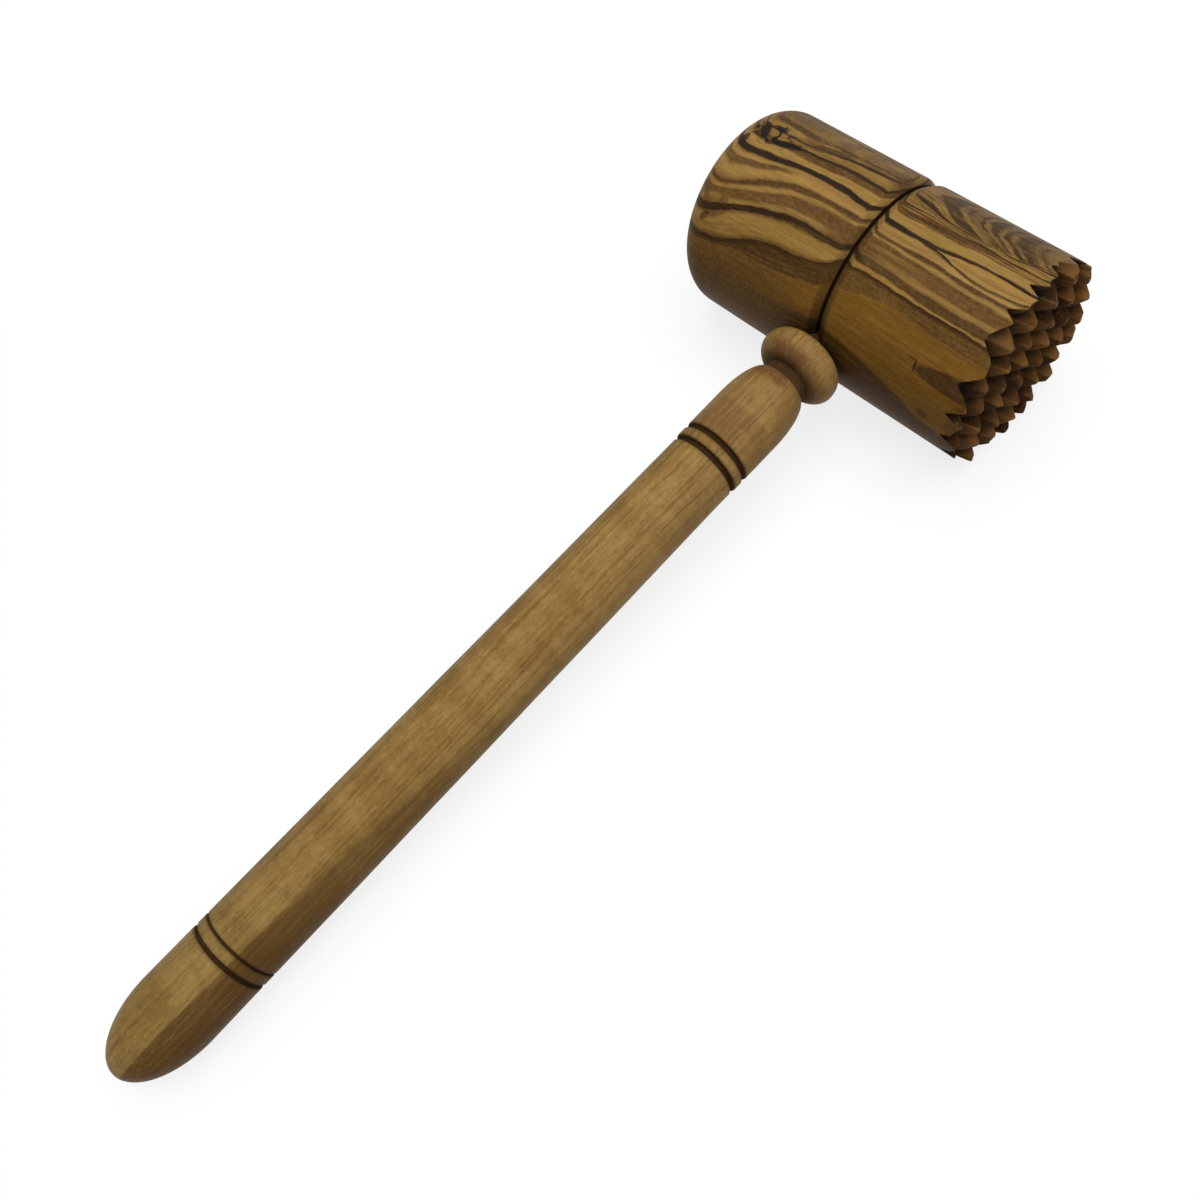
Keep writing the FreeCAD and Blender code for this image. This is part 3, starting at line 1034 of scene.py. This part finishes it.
def makeHandleWood():
    look = handleWoodLook
    material, tree = newMaterial("handleWood")
    point = benchPoint(tree)
    parts = parted(tree, point)
    distance = calc(tree, "SUBTRACT", times(tree, parts[0], -1.0), mallet["headRadius"])
    fibre = useGroup(tree, woodFibre, {"Vector": point, "Fleck Length": 1.5, "Fleck Amount": 0.62})
    wear = useGroup(tree, handlingWear, {"Vector": point, "Base Roughness": 0.47, "Unevenness": 0.16})

    turn = math.radians(look["layerTurn"])
    sideways = times(tree, parts[1], math.cos(turn))
    layer = plus(tree, sideways, times(tree, parts[2], math.sin(turn)))
    sway = cloud(tree, stretched(tree, point, (0.018, 0.05, 0.05)), detail=2.0)
    ripple = cloud(tree, stretched(tree, point, (0.12, 0.3, 0.3), move=(4, 1, 1)), detail=3.0)
    layer = shaken(tree, layer, sway, 4.0)
    layer = shaken(tree, layer, ripple, 1.1)

    # slow change of tone across the layers and along the handle
    broad = cloud(tree, stretched(tree, point, (0.012, 0.09, 0.09), move=(2, 2, 5)), detail=2.0)
    colour = tint(tree, linearColour(look["base"]), look["pale"], rescale(tree, broad, 0.4, 0.62))
    olive = rescale(tree, layer, -6.5, -9.5)
    colour = tint(tree, colour, look["olive"], olive, 0.8)

    colour = tint(tree, colour, look["olive"], rescale(tree, distance, 150.0, 235.0, 0.0, 0.75))

    # painted light on the lower flank near the head, which is painted paler
    flank = times(tree, rescale(tree, layer, 0.0, 4.0), rescale(tree, distance, 150.0, 60.0))
    colour = tint(tree, colour, "b08c54", flank, 0.7)

    # growth lines
    threads = combined(tree, times(tree, layer, 0.85), times(tree, distance, 0.006), 2.4)
    thread = cloud(tree, threads, detail=4.0, roughness=0.6)
    colour = tint(tree, colour, look["brown"], rescale(tree, thread, 0.52, 0.66), 0.55)
    colour = tint(tree, colour, look["pale"], rescale(tree, thread, 0.46, 0.32), 0.25)

    # cross figure: soft bars that lie across the grain
    bars = cloud(tree, stretched(tree, point, (0.16, 0.05, 0.05), move=(6, 3, 2)), detail=2.0, roughness=0.4)
    colour = tint(tree, colour, "b4935a", rescale(tree, bars, 0.52, 0.6), 0.2)
    colour = tint(tree, colour, look["brown"], rescale(tree, bars, 0.46, 0.38), 0.2)

    # curl: short slanting ripples of light and dark
    curl = stretched(tree, point, (0.55, 0.9, 0.9), move=(3, 8, 1), turn=(0.0, 0.35, 0.6))
    curl = cloud(tree, curl, detail=3.0, roughness=0.6, distortion=0.6)
    colour = tint(tree, colour, "bb9a62", rescale(tree, curl, 0.55, 0.68), 0.26)
    colour = tint(tree, colour, look["brown"], rescale(tree, curl, 0.45, 0.33), 0.3)

    # reddish wood on the bead and the shoulder
    redPatch = cloud(tree, stretched(tree, point, (0.09, 0.06, 0.06), move=(1, 1, 3)), detail=2.0)
    nearHead = times(tree, rescale(tree, distance, 50.0, 38.0), rescale(tree, redPatch, 0.42, 0.52))
    nearHead = times(tree, nearHead, rescale(tree, distance, 5.0, 8.5))
    colour = tint(tree, colour, look["red"], nearHead, 0.4)
    outwards = combined(tree, 0.0, parts[1], parts[2])
    outwards = addNode(tree, "ShaderNodeVectorMath", {0: outwards}, operation="NORMALIZE").outputs[0]
    upness = parted(tree, outwards)[2]
    blush = shaken(tree, upness, redPatch, 0.5)
    blush = rescale(tree, blush, 0.86, 0.93)
    onBead = times(tree, blush, nearTo(tree, distance, 13.0, 5.5, 2.0))
    colour = tint(tree, colour, "6a472a", onBead, 0.75)
    onShoulder = times(tree, blush, nearTo(tree, distance, 35.5, 5.0, 1.5))
    colour = tint(tree, colour, "704c2b", onShoulder, 0.4)
    # the back of the bead in a darker reddish brown, partly its own tone and partly painted shade
    beadBackToneAndShade = times(tree, nearTo(tree, distance, 11.5, 2.6, 2.4), 0.55)
    colour = tint(tree, colour, "684729", beadBackToneAndShade)

    # dark heart streak, sharp by the butt and soft towards the head
    edge = pathCurve(tree, distance, look["streakEdge"], (0.0, 280.0), 14.0)
    softness = rescale(tree, distance, 110.0, 232.0, 4.2, 1.1)
    streak = calc(tree, "DIVIDE", calc(tree, "SUBTRACT", layer, edge), softness)
    streak = rescale(tree, streak, -0.5, 0.5, kind="SMOOTHSTEP")
    depth = pathCurve(tree, distance, look["streakDepth"], (0.0, 280.0), 1.0)
    colour = tint(tree, colour, look["streak"], streak, depth)

    colour = tint(tree, colour, "553a18", rescale(tree, fibre["Tone"], 0.53, 0.38), 0.26)
    colour = tint(tree, colour, "bf9c60", rescale(tree, fibre["Tone"], 0.5, 0.64), 0.18)
    colour = tint(tree, colour, "5a3c1a", fibre["Fleck"], 0.34)
    colour = tint(tree, colour, look["brown"], wear["Smudge"], 0.14)

    # darkened ring grooves, and painted shade in the notch and at the foot of the bead where it meets the
    # head
    grooveDarkAndShade = None
    for middle, width, _ in handle["rings"]:
        away = apart(tree, distance, middle)
        ring = rescale(tree, away, width / 2 + 0.15, width / 2 - 0.2)
        grooveDarkAndShade = ring if grooveDarkAndShade is None else calc(tree, "MAXIMUM", grooveDarkAndShade, ring)
        halo = times(tree, rescale(tree, away, width / 2 + 0.9, width / 2), 0.4)
        grooveDarkAndShade = calc(tree, "MAXIMUM", grooveDarkAndShade, halo)
    # painted shade in the notch between the bead and the shoulder
    notchMiddle = handle["shoulderStart"] - 1.4
    away = apart(tree, distance, notchMiddle)
    notchShade = times(tree, rescale(tree, away, 2.4, 1.2), 0.8)
    grooveDarkAndShade = calc(tree, "MAXIMUM", grooveDarkAndShade, notchShade)
    # painted shade at the foot of the bead, where the handle meets the head
    grooveDarkAndShade = calc(tree, "MAXIMUM", grooveDarkAndShade, rescale(tree, distance, 2.4, 0.6))
    colour = tint(tree, colour, look["grooveDarkAndShadeColour"], grooveDarkAndShade, 0.92)

    normal = raised(tree, fibre["Height"], 0.3, 0.0001)
    roughness = calc(tree, "ADD", wear["Roughness"], times(tree, grooveDarkAndShade, 0.35), clamp=True)
    closeMaterial(tree, colour, roughness, normal, 0.06)
    return material


def makeGlue():
    # dried glue squeezed out round the tenon
    material, tree = newMaterial("driedGlue")
    point = benchPoint(tree)
    wear = useGroup(tree, handlingWear, {"Vector": point, "Base Roughness": 0.38, "Unevenness": 0.2})
    clots = cloud(tree, point, scale=0.8, detail=4.0)
    colour = blend(tree, rescale(tree, clots, 0.35, 0.7), linearColour("7a6038"), linearColour("a98c58"))
    normal = raised(tree, clots, 0.4, 0.0001)
    closeMaterial(tree, colour, wear["Roughness"], normal, 0.4)
    return material


malletHead.data.materials.clear()
malletHead.data.materials.append(makeHeadWood())
malletHandle.data.materials.clear()
malletHandle.data.materials.append(makeHandleWood())
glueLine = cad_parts["glue_line"]
glueLine.data.materials.clear()
glueLine.data.materials.append(makeGlue())
print("materials", [material.name for material in bpy.data.materials])


# floor, light and camera

studio = {
    "floorHalf": 4.0,
    "floorBounce": 0.35,
    "floorShown": 0.22,
    "floorGlow": 0.80,
    "floorFade": (0.25, 1.1),  # metres from the middle between which the floor turns plain white
    "lampSize": 1.1,
    "lampHeight": 1.1,
    "lampPower": 11.0,
    "lampPlace": (0.14, -0.1),
    "skyStrength": 0.3,
}

camera = {
    "lens": 33.12,
    "shift": (0.00604, 0.05198),
    "place": (-0.050135, -0.137819, 0.297956),
    "aim": (-0.000792, -0.016586, 0.015),
    "roll": -24.6428,
    "sensor": 36.0,
    "clip": (0.01, 50.0),
}


def seenDirectly(tree):
    # 1 for rays from the camera, mirrors and glass, 0 for light on its way
    rays = addNode(tree, "ShaderNodeLightPath").outputs
    shown = calc(tree, "MAXIMUM", rays["Is Camera Ray"], rays["Is Glossy Ray"])
    return calc(tree, "MAXIMUM", shown, rays["Is Transmission Ray"])


def makeFloor():
    bm = bmesh.new()
    bmesh.ops.create_grid(bm, x_segments=8, y_segments=8, size=studio["floorHalf"])
    floor = meshObject(bm, "floor")
    material, tree = newMaterial("paleFloor")
    bounce = studio["floorBounce"]
    shown = studio["floorShown"]
    dull = addNode(tree, "ShaderNodeBsdfDiffuse", {"Color": (bounce, bounce, bounce, 1)}).outputs[0]
    face = addNode(tree, "ShaderNodeBsdfDiffuse", {"Color": (shown, shown, shown, 1)}).outputs[0]
    place = addNode(tree, "ShaderNodeTexCoord").outputs["Object"]
    away = addNode(tree, "ShaderNodeVectorMath", {0: place}, operation="LENGTH").outputs["Value"]
    fadeStart, fadeEnd = studio["floorFade"]
    strength = rescale(tree, away, fadeStart, fadeEnd, studio["floorGlow"], 1.0)
    glow = addNode(tree, "ShaderNodeEmission", {"Color": (1, 1, 1, 1), "Strength": strength}).outputs[0]
    white = addNode(tree, "ShaderNodeAddShader", {0: face, 1: glow}).outputs[0]
    both = addNode(tree, "ShaderNodeMixShader", {0: seenDirectly(tree), 1: dull, 2: white}).outputs[0]
    leave = tree.nodes.new("ShaderNodeOutputMaterial")
    tree.links.new(both, leave.inputs["Surface"])
    floor.data.materials.append(material)


def makeLight():
    lamp = bpy.data.lights.new("softBox", "AREA")
    lamp.shape = "SQUARE"
    lamp.size = studio["lampSize"]
    lamp.energy = studio["lampPower"]
    holder = bpy.data.objects.new("softBox", lamp)
    holder.location = (*studio["lampPlace"], studio["lampHeight"])
    bpy.context.scene.collection.objects.link(holder)
    world = bpy.data.worlds.new("studio")
    bpy.context.scene.world = world
    world.use_nodes = True
    tree = world.node_tree
    tree.nodes.clear()
    strength = rescale(tree, seenDirectly(tree), 0.0, 1.0, studio["skyStrength"], 1.0)
    sky = addNode(tree, "ShaderNodeBackground", {"Color": (1, 1, 1, 1), "Strength": strength}).outputs[0]
    leave = tree.nodes.new("ShaderNodeOutputWorld")
    tree.links.new(sky, leave.inputs["Surface"])


def makeCamera():
    made = bpy.data.cameras.new("camera")
    made.sensor_width = camera["sensor"]
    made.lens = camera["lens"]
    made.shift_x, made.shift_y = camera["shift"]
    made.clip_start, made.clip_end = camera["clip"]
    holder = bpy.data.objects.new("camera", made)
    holder.location = camera["place"]
    look = (Vector(camera["aim"]) - Vector(camera["place"])).to_track_quat("-Z", "Y").to_matrix()
    turned = look @ Matrix.Rotation(math.radians(camera["roll"]), 3, "Z")
    holder.rotation_euler = turned.to_euler()
    bpy.context.scene.collection.objects.link(holder)
    bpy.context.scene.camera = holder


makeFloor()
makeLight()
makeCamera()
bpy.context.scene.view_settings.view_transform = "Standard"
print("studio ready")
